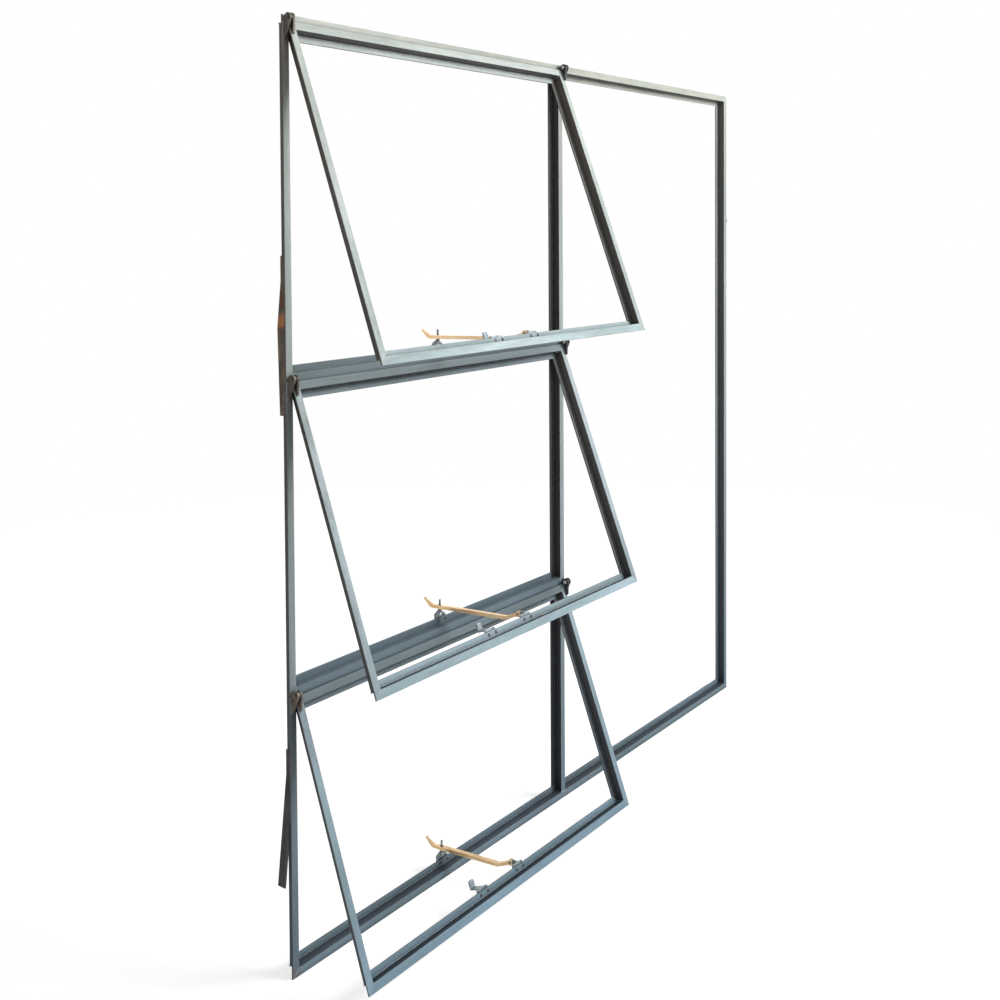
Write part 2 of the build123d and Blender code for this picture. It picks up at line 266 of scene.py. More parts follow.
def makeMottle():
    tree, entry, leave = startGroup(
        "mottle",
        [("Stretch", "vector", (1.0, 1.0, 1.0)), ("Scale", "value", 30.0), ("Seed", "value", 0.0)],
        [("Cloud", "value"), ("Fine", "value")],
    )
    scale, seed = entry.outputs["Scale"], entry.outputs["Seed"]
    spread = vectorNode(tree, "MULTIPLY", -650, 0, objectPlace(tree), entry.outputs["Stretch"])
    finer = mathNode(tree, "MULTIPLY", -650, -250, scale, cloudShape["finer"])
    broad = addNoise(tree, -400, 200, spread, scale, seed, **cloudShape["broad"])
    fine = addNoise(tree, -400, -200, spread, finer, seed, **cloudShape["fine"])
    plug(tree, ramp(tree, broad, 100, 200, *cloudShape["contrast"]), leave.inputs["Cloud"])
    plug(tree, ramp(tree, fine, 100, -200, *cloudShape["contrast"]), leave.inputs["Fine"])
    return tree


# rolled steel under thin paint: fine pits over long, faint rolling marks
grainShape = {
    "pits": {"Detail": 3.0, "Roughness": 0.6},
    "marks": {"Detail": 4.0, "Roughness": 0.5},
    "share": 0.5,
}


def makeSurfaceGrain():
    tree, entry, leave = startGroup(
        "surfaceGrain",
        [("Stretch", "vector", (1.0, 1.0, 1.0)), ("Pits", "value", 900.0), ("Marks", "value", 240.0)],
        [("Height", "value")],
    )
    place = objectPlace(tree)
    spread = vectorNode(tree, "MULTIPLY", -650, 0, place, entry.outputs["Stretch"])
    pits = addNoise(tree, -400, 200, place, entry.outputs["Pits"], **grainShape["pits"])
    marks = addNoise(tree, -400, -200, spread, entry.outputs["Marks"], **grainShape["marks"])
    both = mathNode(tree, "ADD", 0, 0, pits, marks)
    plug(tree, mathNode(tree, "MULTIPLY", 250, 0, both, grainShape["share"]), leave.inputs["Height"])
    return tree


# ragged rust: broad blooms with a crust of darker grains inside
bloomShape = {
    "edge": (-0.04, 0.08),
    "blooms": {"Detail": 8.0, "Roughness": 0.65},
    "grainScale": 420.0,
    "grains": {"Detail": 6.0, "Roughness": 0.7},
    "grainContrast": (0.35, 0.65),
    "tones": (colour(74, 44, 30), colour(142, 84, 46)),
}


def makeRustBloom():
    tree, entry, leave = startGroup(
        "rustBloom",
        [("Scale", "value", 45.0), ("Cover", "value", 0.5), ("Seed", "value", 0.0)],
        [("Mask", "value"), ("Color", "colour")],
    )
    place = objectPlace(tree)
    scale, seed = entry.outputs["Scale"], entry.outputs["Seed"]
    blooms = addNoise(tree, -600, 200, place, scale, seed, **bloomShape["blooms"])
    grains = addNoise(tree, -600, -200, place, bloomShape["grainScale"], **bloomShape["grains"])
    start = mathNode(tree, "SUBTRACT", -600, 500, 1.0, entry.outputs["Cover"])
    above = mathNode(tree, "SUBTRACT", -350, 200, blooms, start)
    crust = ramp(tree, grains, -350, -200, *bloomShape["grainContrast"])
    plug(tree, ramp(tree, above, -100, 200, *bloomShape["edge"]), leave.inputs["Mask"])
    plug(tree, mixColour(tree, 100, -200, crust, *bloomShape["tones"]), leave.inputs["Color"])
    return tree


# 1 on the webs of the sections and 0 on the faces, less on upward sides: painted shade for the sides that light
# from above and in front misses, together with the dark scale that the webs kept
webShadeLimits = {"face": (0.45, 0.8), "top": (0.3, 0.9)}


def makeWebShadeAndScale():
    tree, entry, leave = startGroup(
        "webShadeAndScale",
        [("Amount", "value", 1.0), ("Upward", "value", 0.5)],
        [("Mask", "value")],
    )
    surface = addNode(tree, "ShaderNodeNewGeometry", -900, 0)
    split = addNode(tree, "ShaderNodeSeparateXYZ", -700, 0)
    plug(tree, surface.outputs["True Normal"], split.inputs[0])
    front = mathNode(tree, "ABSOLUTE", -500, 100, split.outputs["Y"])
    side = mathNode(tree, "SUBTRACT", -100, 100, 1.0, ramp(tree, front, -300, 100, *webShadeLimits["face"]))
    top = ramp(tree, split.outputs["Z"], -300, -200, *webShadeLimits["top"])
    spared = mathNode(tree, "SUBTRACT", -100, -400, 1.0, entry.outputs["Upward"])
    lift = mathNode(tree, "SUBTRACT", 200, -200, 1.0, mathNode(tree, "MULTIPLY", 50, -200, top, spared))
    putOutMask(tree, entry, leave, mathNode(tree, "MULTIPLY", 400, 0, side, lift))
    return tree


# 1 at a spot of the window, fading in ragged steps to 0 at the reach
spotShape = {
    "ragged": (0.62, 1.0),
    "rim": (0.0, 0.15),
    "noise": {"Detail": 7.0, "Roughness": 0.65},
}


def makeNearSpot():
    tree, entry, leave = startGroup(
        "nearSpot",
        [("Spot", "vector", (0.0, 0.0, 0.0)), ("Reach", "value", 0.05), ("Breakup", "value", 90.0),
         ("Amount", "value", 1.0)],
        [("Mask", "value")],
    )
    place = objectPlace(tree)
    noise = addNoise(tree, -600, -300, place, entry.outputs["Breakup"], **spotShape["noise"])
    gap = vectorNode(tree, "DISTANCE", -600, 100, place, entry.outputs["Spot"])
    part = mathNode(tree, "DIVIDE", -400, 100, gap, entry.outputs["Reach"])
    near = mathNode(tree, "SUBTRACT", -200, 100, 1.0, part, clamp=True)
    ragged = ramp(tree, mathNode(tree, "ADD", 0, 0, near, noise), 200, 0, *spotShape["ragged"])
    rim = ramp(tree, near, 200, -200, *spotShape["rim"])
    putOutMask(tree, entry, leave, mathNode(tree, "MULTIPLY", 400, 0, ragged, rim))
    return tree


# 1 on the outdoor side of the flanges at the room side, which stand in the shade of the web
flangeLimits = {"beyond": (-0.001, 0.001), "outdoors": (0.3, 0.8)}


def makeInnerFlanges():
    tree, entry, leave = startGroup(
        "innerFlanges",
        [("Origin", "vector", (0.0, 0.0, 0.0)), ("Across", "vector", (0.0, 1.0, 0.0)),
         ("Depth", "value", 0.0), ("Amount", "value", 1.0)],
        [("Mask", "value")],
    )
    across = entry.outputs["Across"]
    surface = addNode(tree, "ShaderNodeNewGeometry", -900, 300)
    offset = vectorNode(tree, "SUBTRACT", -600, 0, objectPlace(tree), entry.outputs["Origin"])
    deep = vectorNode(tree, "DOT_PRODUCT", -400, 0, offset, across)
    facing = vectorNode(tree, "DOT_PRODUCT", -400, 300, surface.outputs["True Normal"], across)
    beyond = mathNode(tree, "SUBTRACT", -200, 0, deep, entry.outputs["Depth"])
    inside = ramp(tree, beyond, 0, 0, *flangeLimits["beyond"])
    outdoors = mathNode(tree, "MULTIPLY", -200, 300, facing, -1.0)
    outdoors = ramp(tree, outdoors, 0, 300, *flangeLimits["outdoors"])
    putOutMask(tree, entry, leave, mathNode(tree, "MULTIPLY", 250, 100, inside, outdoors))
    return tree


def makeHeightFade():
    # 0 at the low level and 1 at the high one, even between them
    tree, entry, leave = startGroup(
        "heightFade",
        [("Low", "value", 0.0), ("High", "value", 1.5)],
        [("Fade", "value")],
    )
    split = addNode(tree, "ShaderNodeSeparateXYZ", -400, 0)
    span = addNode(tree, "ShaderNodeMapRange", 0, 0)
    plug(tree, objectPlace(tree), split.inputs[0])
    plug(tree, split.outputs["Z"], span.inputs["Value"])
    plug(tree, entry.outputs["Low"], span.inputs["From Min"])
    plug(tree, entry.outputs["High"], span.inputs["From Max"])
    plug(tree, span.outputs["Result"], leave.inputs["Fade"])
    return tree


wornAndLitEdges = makeWornAndLitEdges()
cornerGrimeAndShade = makeCornerGrimeAndShade()
mottle = makeMottle()
surfaceGrain = makeSurfaceGrain()
rustBloom = makeRustBloom()
webShadeAndScale = makeWebShadeAndScale()
nearSpot = makeNearSpot()
heightFade = makeHeightFade()
innerFlanges = makeInnerFlanges()
print("shared effects ready")


def startMaterial(name, metallic, specular):
    material = bpy.data.materials.new(name)
    material.use_nodes = True
    tree = material.node_tree
    shader = tree.nodes["Principled BSDF"]
    shader.location = (900, 0)
    tree.nodes["Material Output"].location = (1200, 0)
    fill(shader, Metallic=metallic, Specular_IOR_Level=specular)
    return material, tree, shader


def patchyGloss(tree, clouds, low, high):
    # a roughness with shinier and duller patches, from the fine part of the clouds
    rough = fill(addNode(tree, "ShaderNodeMapRange", 0, -150), To_Min=low, To_Max=high)
    plug(tree, clouds.outputs["Fine"], rough.inputs["Value"])
    return rough.outputs["Result"]


def addBump(tree, shader, grain, strength, distance):
    bump = fill(addNode(tree, "ShaderNodeBump", 650, -400), Strength=strength, Distance=distance)
    plug(tree, grain.outputs["Height"], bump.inputs["Height"])
    plug(tree, bump.outputs["Normal"], shader.inputs["Normal"])


# satin grey primer over rolled steel: cloudy, bright on the edges from wear and a painted highlight, dark in the
# channels from soiling and painted shade, with painted shade on the webs and painted light that lightens it
# towards the head
primer = {
    "alongRail": (0.12, 1.0, 1.0),
    "alongStile": (1.0, 1.0, 0.12),
    "even": (1.0, 1.0, 1.0),
    "cloudScale": 22.0,
    "cloudTones": ((0.74, 0.76, 0.74, 1.0), (1.12, 1.12, 1.14, 1.0)),  # multiply the tone
    "speck": 0.22,
    "speckTone": colour(96, 100, 92),
    "edgeTone": colour(206, 220, 218),
    "grimeAndShadeTone": colour(44, 42, 47),
    "grimeDull": 0.3,  # added to the roughness in the dirt
    "rust": {"Scale": 150.0, "Cover": 0.6},
    "roughness": (0.42, 0.6),
    "bump": (0.35, 0.00025),  # strength and depth
}

# what the paint's tone is multiplied by on the webs: painted shade, with some dark scale in it
webShadeTones = {
    "frame": (0.25, 0.215, 0.24, 1.0),
    "topRail": (0.155, 0.130, 0.155, 1.0),
    "footRail": (0.062, 0.050, 0.060, 1.0),
    "mullion": (0.115, 0.095, 0.100, 1.0),
    "stile": (0.30, 0.235, 0.222, 1.0),
}

# the paint's tone at the head and at the sill: greener above, bluer below, and with painted light lighter above
# and darker below
paintAndLightTones = {
    "frame": {"high": colour(184, 187, 177), "low": colour(104, 124, 136)},
    "jamb": {"high": colour(180, 185, 178), "low": colour(90, 109, 124)},
    # the transoms darker than the rest of the frame: painted shade under the open sashes
    "transom": {"high": colour(116, 127, 127), "low": colour(84, 106, 122)},
    "footRail": {"high": colour(209, 223, 222), "low": colour(124, 149, 166)},
    # the top rails' low tone darker than the stiles': painted shadow of the open sash above
    "topRail": {"high": colour(186, 193, 187), "low": colour(100, 116, 123)},
    "stile": {"high": colour(186, 193, 187), "low": colour(120, 145, 161)},
    "bead": {"high": colour(206, 212, 206), "low": colour(132, 152, 162)},
}

# rust on the frame: where, how far it reaches and how strong it is
railSpots = (((-0.752, -0.010, -0.010), 0.022, 0.3),)
jambSpots = (
    ((-0.755, -0.006, -0.010), 0.026, 0.25),
    ((-0.7555, 0.010, 1.50), 0.14, 0.22),
)


def makePrimer(
    name, tones, stretch, seed, grimeAndShade=0.7, edges=0.9, webs=1.0, upward=0.9, webShadeTone=webShadeTones["frame"],
    rustSpots=(), flanges=None, fadeFrom=0.0, edgeRadius=0.0012, specular=0.3,
):
    material, tree, shader = startMaterial(name, 0.0, specular)
    fade = useGroup(tree, heightFade, -900, 300, Low=fadeFrom)
    clouds = useGroup(tree, mottle, -900, 0, Stretch=stretch, Scale=primer["cloudScale"], Seed=seed)
    grain = useGroup(tree, surfaceGrain, -900, -400, Stretch=stretch)
    wearAndHighlight = useGroup(tree, wornAndLitEdges, -900, -700, Radius=edgeRadius, Amount=edges)
    dirtAndShade = useGroup(tree, cornerGrimeAndShade, -900, -1000, Amount=grimeAndShade)
    shadedSides = useGroup(tree, webShadeAndScale, -900, -1300, Amount=webs, Upward=upward)
    # painted light: the tone runs from the darker low tone at the sill to the lighter high tone at the head
    tone = mixColour(tree, -600, 300, fade.outputs["Fade"], tones["low"], tones["high"])
    cloudy = mixColour(tree, -400, 300, clouds.outputs["Cloud"], *primer["cloudTones"])
    tone = mixColour(tree, -200, 300, 1.0, tone, cloudy, blend="MULTIPLY")
    speck = mathNode(tree, "MULTIPLY", -400, 50, clouds.outputs["Fine"], primer["speck"])
    tone = mixColour(tree, 0, 300, speck, tone, primer["speckTone"])
    # painted shade on the webs and on the flanges in their shade, with some dark scale
    shadedTone = mixColour(tree, 100, 100, 1.0, tone, webShadeTone, blend="MULTIPLY")
    covered = shadedSides.outputs["Mask"]
    if flanges:
        shaded = useGroup(tree, innerFlanges, -900, -1900, **flanges)
        covered = mathNode(tree, "MAXIMUM", -100, -1300, covered, shaded.outputs["Mask"])
    tone = mixColour(tree, 150, 300, covered, tone, shadedTone)
    # soiling and painted shade in the channels
    tone = mixColour(tree, 300, 300, dirtAndShade.outputs["Mask"], tone, primer["grimeAndShadeTone"])
    # wear and a painted highlight along the edges
    tone = mixColour(tree, 450, 300, wearAndHighlight.outputs["Mask"], tone, primer["edgeTone"])
    for index, (spot, reach, amount) in enumerate(rustSpots):
        rust = useGroup(tree, rustBloom, -300, -1600 - 300 * index, Seed=float(index), **primer["rust"])
        near = useGroup(tree, nearSpot, -600, -1600 - 300 * index, Spot=spot, Reach=reach, Amount=amount)
        tone = mixColour(tree, 600, 300 + 200 * index, near.outputs["Mask"], tone, rust.outputs["Color"])
    plug(tree, tone, shader.inputs["Base Color"])
    rough = patchyGloss(tree, clouds, *primer["roughness"])
    dull = mathNode(tree, "MULTIPLY_ADD", 250, -150, dirtAndShade.outputs["Mask"], primer["grimeDull"], rough, clamp=True)
    plug(tree, dull, shader.inputs["Roughness"])
    addBump(tree, shader, grain, *primer["bump"])
    return material


# dark mill scale with oil stain and a little rust
hingeFinish = {
    "brown": (colour(58, 52, 49), colour(104, 97, 88)),
    "black": (colour(34, 34, 40), colour(74, 74, 82)),
    "edge": colour(132, 124, 108),
    "clouds": {"Scale": 90.0, "Seed": 3.0},
    "grain": {"Pits": 700.0, "Marks": 500.0},
    "wearAndHighlight": {"Radius": 0.0008, "Breakup": 180.0, "Amount": 0.8},
    "rust": {"Scale": 120.0, "Cover": 0.42, "Seed": 1.0},
    "metallic": 0.5,
    "specular": 0.5,
    "roughness": (0.38, 0.68),
    "bump": (0.5, 0.0003),
}


def makeHingeScale(name, tones, rustiness):
    material, tree, shader = startMaterial(name, hingeFinish["metallic"], hingeFinish["specular"])
    clouds = useGroup(tree, mottle, -900, 0, **hingeFinish["clouds"])
    grain = useGroup(tree, surfaceGrain, -900, -400, **hingeFinish["grain"])
    wearAndHighlight = useGroup(tree, wornAndLitEdges, -900, -700, **hingeFinish["wearAndHighlight"])
    rust = useGroup(tree, rustBloom, -900, -1000, **hingeFinish["rust"])
    tone = mixColour(tree, -400, 300, clouds.outputs["Cloud"], *tones)
    spread = mathNode(tree, "MULTIPLY", -400, -1000, rust.outputs["Mask"], rustiness)
    tone = mixColour(tree, -100, 300, spread, tone, rust.outputs["Color"])
    tone = mixColour(tree, 200, 300, wearAndHighlight.outputs["Mask"], tone, hingeFinish["edge"])
    plug(tree, tone, shader.inputs["Base Color"])
    plug(tree, patchyGloss(tree, clouds, *hingeFinish["roughness"]), shader.inputs["Roughness"])
    addBump(tree, shader, grain, *hingeFinish["bump"])
    return material


# dull zinc plate and bare small steel: cloudy patches, bright on the edges from wear and a painted highlight,
# darker in the hollows from soiling and painted shade
platedFinish = {
    "zinc": (colour(96, 104, 110), colour(150, 162, 168)),
    "rivet": (colour(48, 48, 52), colour(92, 96, 100)),
    "pin": (colour(170, 170, 164), colour(222, 220, 212)),
    "edge": colour(206, 214, 216),
    "dirtAndShadeTone": colour(50, 48, 48),
    "cloudScale": 160.0,
    "grain": {"Pits": 1400.0, "Marks": 700.0},
    "wearAndHighlight": {"Radius": 0.0006, "Breakup": 200.0},
    "dirtAndShade": {"Reach": 0.006, "Amount": 0.8, "Speckle": 300.0},
    "metallic": 0.4,
    "specular": 0.4,
    "roughness": (0.36, 0.58),
    "bump": (0.3, 0.00015),
}


def makePlated(name, tones, edges, seed):
    material, tree, shader = startMaterial(name, platedFinish["metallic"], platedFinish["specular"])
    clouds = useGroup(tree, mottle, -900, 0, Scale=platedFinish["cloudScale"], Seed=seed)
    grain = useGroup(tree, surfaceGrain, -900, -400, **platedFinish["grain"])
    wearAndHighlight = useGroup(tree, wornAndLitEdges, -900, -700, Amount=edges, **platedFinish["wearAndHighlight"])
    dirtAndShade = useGroup(tree, cornerGrimeAndShade, -900, -1000, **platedFinish["dirtAndShade"])
    tone = mixColour(tree, -400, 300, clouds.outputs["Cloud"], *tones)
    tone = mixColour(tree, -100, 300, dirtAndShade.outputs["Mask"], tone, platedFinish["dirtAndShadeTone"])
    tone = mixColour(tree, 200, 300, wearAndHighlight.outputs["Mask"], tone, platedFinish["edge"])
    plug(tree, tone, shader.inputs["Base Color"])
    plug(tree, patchyGloss(tree, clouds, *platedFinish["roughness"]), shader.inputs["Roughness"])
    addBump(tree, shader, grain, *platedFinish["bump"])
    return material


# cast brass, tarnished in the hollows and bright on the edges from handling and a painted highlight, with painted
# light that makes it paler towards the head
brassFinish = {
    "pale": (colour(222, 194, 152), colour(255, 226, 184)),  # at the sill, at the head
    "deep": (colour(178, 146, 106), colour(252, 208, 156)),
    "tarnish": colour(118, 86, 58),
    "speck": 0.2,
    "edge": colour(255, 230, 186),
    "levels": {"Low": 0.1, "High": 1.0},
    "clouds": {"Stretch": (1.0, 0.3, 0.6), "Scale": 110.0, "Seed": 5.0},
    "grain": {"Pits": 1100.0, "Marks": 600.0},
    "wearAndHighlight": {"Radius": 0.0009, "Breakup": 120.0, "Amount": 1.0},
    "dirtAndShade": {"Reach": 0.005, "Amount": 0.7, "Speckle": 260.0},
    "metallic": 0.9,
    "specular": 0.5,
    "roughness": (0.26, 0.46),
    "bump": (0.35, 0.0002),
}


def makeBrass():
    material, tree, shader = startMaterial("stayBrass", brassFinish["metallic"], brassFinish["specular"])
    fade = useGroup(tree, heightFade, -900, 300, **brassFinish["levels"])
    clouds = useGroup(tree, mottle, -900, 0, **brassFinish["clouds"])
    grain = useGroup(tree, surfaceGrain, -900, -400, **brassFinish["grain"])
    wearAndHighlight = useGroup(tree, wornAndLitEdges, -900, -700, **brassFinish["wearAndHighlight"])
    dirtAndShade = useGroup(tree, cornerGrimeAndShade, -900, -1000, **brassFinish["dirtAndShade"])
    # painted light: both tones paler towards the head
    deep = mixColour(tree, -600, 500, fade.outputs["Fade"], *brassFinish["deep"])
    pale = mixColour(tree, -600, 300, fade.outputs["Fade"], *brassFinish["pale"])
    tone = mixColour(tree, -400, 300, clouds.outputs["Cloud"], deep, pale)
    speck = mathNode(tree, "MULTIPLY", -400, 50, clouds.outputs["Fine"], brassFinish["speck"])
    tone = mixColour(tree, -200, 300, speck, tone, brassFinish["tarnish"])
    tone = mixColour(tree, 0, 300, dirtAndShade.outputs["Mask"], tone, brassFinish["tarnish"])
    tone = mixColour(tree, 200, 300, wearAndHighlight.outputs["Mask"], tone, brassFinish["edge"])
    plug(tree, tone, shader.inputs["Base Color"])
    plug(tree, patchyGloss(tree, clouds, *brassFinish["roughness"]), shader.inputs["Roughness"])
    addBump(tree, shader, grain, *brassFinish["bump"])
    return material


# bare strip steel, grey near the sill and brown with rust blooms above, paler where it was bent
lugFinish = {
    "low": (colour(46, 46, 51), colour(76, 74, 78)),
    "high": (colour(80, 72, 66), colour(128, 116, 100)),
    "edge": colour(150, 140, 132),
    "stain": {"Spot": (-0.764, 0.0015, 1.05), "Reach": 0.022, "Amount": 0.8},  # on the upper left lug
    "stainTone": colour(186, 124, 76),
    "levels": {"Low": 0.3, "High": 0.95},
    "clouds": {"Stretch": (1.0, 1.0, 0.4), "Scale": 70.0, "Seed": 8.0},
    "grain": {"Pits": 800.0, "Marks": 420.0},
    "wearAndHighlight": {"Radius": 0.0008, "Breakup": 90.0, "Amount": 0.7},
    "rust": {"Scale": 38.0, "Cover": 0.42, "Seed": 4.0},
    "metallic": 0.35,
    "specular": 0.4,
    "roughness": (0.5, 0.85),
    "bump": (0.6, 0.0004),
}


def makeLugRust():
    material, tree, shader = startMaterial("lugRust", lugFinish["metallic"], lugFinish["specular"])
    fade = useGroup(tree, heightFade, -900, 300, **lugFinish["levels"])
    clouds = useGroup(tree, mottle, -900, 0, **lugFinish["clouds"])
    grain = useGroup(tree, surfaceGrain, -900, -400, **lugFinish["grain"])
    wearAndHighlight = useGroup(tree, wornAndLitEdges, -900, -700, **lugFinish["wearAndHighlight"])
    rust = useGroup(tree, rustBloom, -900, -1000, **lugFinish["rust"])
    stain = useGroup(tree, nearSpot, -900, -1300, **lugFinish["stain"])
    low = mixColour(tree, -600, 300, clouds.outputs["Cloud"], *lugFinish["low"])
    high = mixColour(tree, -600, 500, clouds.outputs["Cloud"], *lugFinish["high"])
    tone = mixColour(tree, -400, 300, fade.outputs["Fade"], low, high)
    spread = mathNode(tree, "MULTIPLY", -400, -1000, rust.outputs["Mask"], fade.outputs["Fade"])
    tone = mixColour(tree, -100, 300, spread, tone, rust.outputs["Color"])
    tone = mixColour(tree, 50, 300, stain.outputs["Mask"], tone, lugFinish["stainTone"])
    tone = mixColour(tree, 200, 300, wearAndHighlight.outputs["Mask"], tone, lugFinish["edge"])
    plug(tree, tone, shader.inputs["Base Color"])
    plug(tree, patchyGloss(tree, clouds, *lugFinish["roughness"]), shader.inputs["Roughness"])
    addBump(tree, shader, grain, *lugFinish["bump"])
    return material


frameRailPrimer = makePrimer(
    "frameRailPrimer", paintAndLightTones["frame"], primer["alongRail"], seed=1.0,
    edges=0.6, edgeRadius=0.0016, rustSpots=railSpots, specular=0.2,
)
frameJambPrimer = makePrimer(
    "frameJambPrimer", paintAndLightTones["jamb"], primer["alongStile"], seed=2.0, webs=0.87, rustSpots=jambSpots,
)
transomPrimer = makePrimer(
    "transomPrimer", paintAndLightTones["transom"], primer["alongRail"], seed=7.0,
    grimeAndShade=0.3, upward=0.1, edges=0.2,
)
# the top rails below the upper row keep the low tone: painted shadow of the open sash above them
sashRailPrimer = makePrimer(
    "sashRailPrimer", paintAndLightTones["topRail"], primer["alongRail"], seed=3.0,
    webShadeTone=webShadeTones["topRail"], fadeFrom=0.9,
)
sashFootPrimer = makePrimer(
    "sashFootPrimer", paintAndLightTones["footRail"], primer["alongRail"], seed=5.0,
    webShadeTone=webShadeTones["footRail"], edges=0.7, edgeRadius=0.0022, specular=0.06,
)
mullionPrimer = makePrimer(
    "mullionPrimer", paintAndLightTones["jamb"], primer["alongStile"], seed=8.0,
    webShadeTone=webShadeTones["mullion"], flanges={"Depth": 0.004, "Amount": 0.75},
)
stilePrimers = {}
for index, row in enumerate(sashRows):
    seat = sashSeat(row)
    stilePrimers[row] = makePrimer(
        f"{row}StilePrimer", paintAndLightTones["stile"], primer["alongStile"], seed=4.0 + 0.3 * index,
        webShadeTone=webShadeTones["stile"],
        flanges={"Origin": seat.translation, "Across": seat.col[1].to_3d(), "Depth": 0.021, "Amount": 0.78},
    )
beadPrimer = makePrimer(
    "beadPrimer", paintAndLightTones["bead"], primer["even"], seed=6.0, grimeAndShade=0.5, edges=0.2, webs=0.3,
)
brownScale = makeHingeScale("brownScale", hingeFinish["brown"], rustiness=0.4)
blackScale = makeHingeScale("blackScale", hingeFinish["black"], rustiness=0.25)
platedZinc = makePlated("platedZinc", platedFinish["zinc"], edges=0.8, seed=2.0)
rivetSteel = makePlated("rivetSteel", platedFinish["rivet"], edges=0.4, seed=6.0)
pinSteel = makePlated("pinSteel", platedFinish["pin"], edges=0.6, seed=9.0)
stayBrass = makeBrass()
lugRust = makeLugRust()
print("finishes ready")


# the CAD nodes take their finishes by the end of their names
finishByEnding = {
    "frame_head": frameRailPrimer,
    "frame_sill": frameRailPrimer,
    "transom": transomPrimer,
    "jamb": frameJambPrimer,
    "mullion": mullionPrimer,
    "top_rail": sashRailPrimer,
    "bottom_rail": sashFootPrimer,
    **{f"{row}_sash_{side}_stile": stilePrimers[row] for row in sashRows for side in ("left", "right")},
    "left_hinge_bracket": brownScale,
    "left_hinge_arm": brownScale,
    "right_hinge_bracket": blackScale,
    "right_hinge_arm": blackScale,
    "stay_pivot": platedZinc,
    "stay_peg": platedZinc,
    "stay_keeper": platedZinc,
    "stay_arm": stayBrass,
    "lugs": lugRust,
}


def dressNodes():
    for name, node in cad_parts.items():
        for ending, finish in finishByEnding.items():
            if name.endswith(ending):
                for place in node.material_slots:
                    place.material = finish


dressNodes()
print("nodes dressed")


# helpers for the added pieces
def joinInto(shape, part):
    carried = bpy.data.meshes.new("carried")
    part.to_mesh(carried)
    part.free()
    shape.from_mesh(carried)
    bpy.data.meshes.remove(carried)


def finishPiece(shape, name, material):
    bmesh.ops.recalc_face_normals(shape, faces=shape.faces)
    mesh = bpy.data.meshes.new(name)
    shape.to_mesh(mesh)
    shape.free()
    for face in mesh.polygons:
        face.use_smooth = True
    mesh.materials.append(material)
    piece = bpy.data.objects.new(name, mesh)
    scene.collection.objects.link(piece)
    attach(piece, "root")


def moved(seat, points):
    return [seat @ Vector(point) for point in points]


def turned(seat, direction):
    return (seat.to_3x3() @ Vector(direction)).normalized()


def pointing(direction, spot):
    # a place whose z axis points along the direction
    place = Vector(direction).to_track_quat("Z", "Y").to_matrix().to_4x4()
    place.translation = Vector(spot)
    return place


def turnProfile(shape, profile, place, steps):
    # a turned piece from a few points (radius, height) about the local z axis
    lathe = bmesh.new()
    points = [lathe.verts.new((radius, 0.0, height)) for radius, height in profile]
    edges = [lathe.edges.new(pair) for pair in zip(points, points[1:])]
    bmesh.ops.spin(
        lathe, geom=points + edges, cent=(0, 0, 0), axis=(0, 0, 1),
        angle=2 * math.pi, steps=steps, use_merge=True,
    )
    bmesh.ops.remove_doubles(lathe, verts=lathe.verts, dist=1e-6)
    bmesh.ops.transform(lathe, matrix=place, verts=lathe.verts)
    joinInto(shape, lathe)


# weld beads: at the mitres, the ends of the transoms and the mullion, the hinges and the lugs
dice = random.Random(41)
bead = {
    "pitch": 0.0011,
    "width": 0.0030,
    "height": 0.0007,
    "sink": 0.0002,
    "overlap": 1.3,  # a drop's half length, in pitches
    "fewest": 3,
    "uneven": (0.85, 1.15),  # a drop's size
    "stray": 0.0002,  # a drop's way off the line
    "segments": 8,
    "rings": 5,
}


def layBead(shape, start, end, normal, scale):
    # overlapping flattened drops, laid one on the next from start to end
    start, end, normal = Vector(start), Vector(end), Vector(normal).normalized()
    run = end - start
    along = run.normalized()
    across = normal.cross(along)
    turn = Matrix((along, across, normal)).transposed().to_4x4()
    count = max(bead["fewest"], int(run.length / (bead["pitch"] * scale)))
    drops = bmesh.new()
    for step in range(count + 1):
        wobble = dice.uniform(*bead["uneven"])
        stray = across * dice.uniform(-bead["stray"], bead["stray"])
        spot = start + run * (step / count) - normal * bead["sink"] + stray
        size = Matrix.Diagonal((
            bead["pitch"] * bead["overlap"] * scale,
            bead["width"] / 2 * scale * wobble,
            bead["height"] * scale * wobble,
            1.0,
        ))
        bmesh.ops.create_uvsphere(
            drops, u_segments=bead["segments"], v_segments=bead["rings"], radius=1.0,
            matrix=Matrix.Translation(spot) @ turn @ size,
        )
    joinInto(shape, drops)


# each mitre is welded on the outdoor face, in the corner of the webs and on the room side
mitreWeld = {
    "tip": 0.0015,  # from the corner to the weld's end
    "start": 0.001,  # from the face to the start of the weld in the corner
    "faceScale": 0.8,
    "cornerScale": 1.5,
}


def weldCorners(shape, seat, left, right, foot, head, face):
    web, reach, wide = barSection["webInset"], barSection["reach"], barSection["width"]
    tip, faceScale, cornerScale = mitreWeld["tip"], mitreWeld["faceScale"], mitreWeld["cornerScale"]
    room = face + barSection["depth"]
    outer, inner = face + mitreWeld["start"], room - barSection["wall"]
    for x, inX in ((left, 1.0), (right, -1.0)):
        for z, inZ in ((foot, 1.0), (head, -1.0)):
            # the start and the end, each as a way in from the corner and a depth, and the way the weld looks
            for first, last, outward, scale in (
                ((tip, face), (web, face), (0, -1, 0), faceScale),
                ((web, outer), (web, inner), (inX, 0, inZ), cornerScale),
                ((reach, room), (wide - tip, room), (0, 1, 0), faceScale),
            ):
                ends = [(x + inX * inset, depth, z + inZ * inset) for inset, depth in (first, last)]
                layBead(shape, *moved(seat, ends), turned(seat, outward), scale)


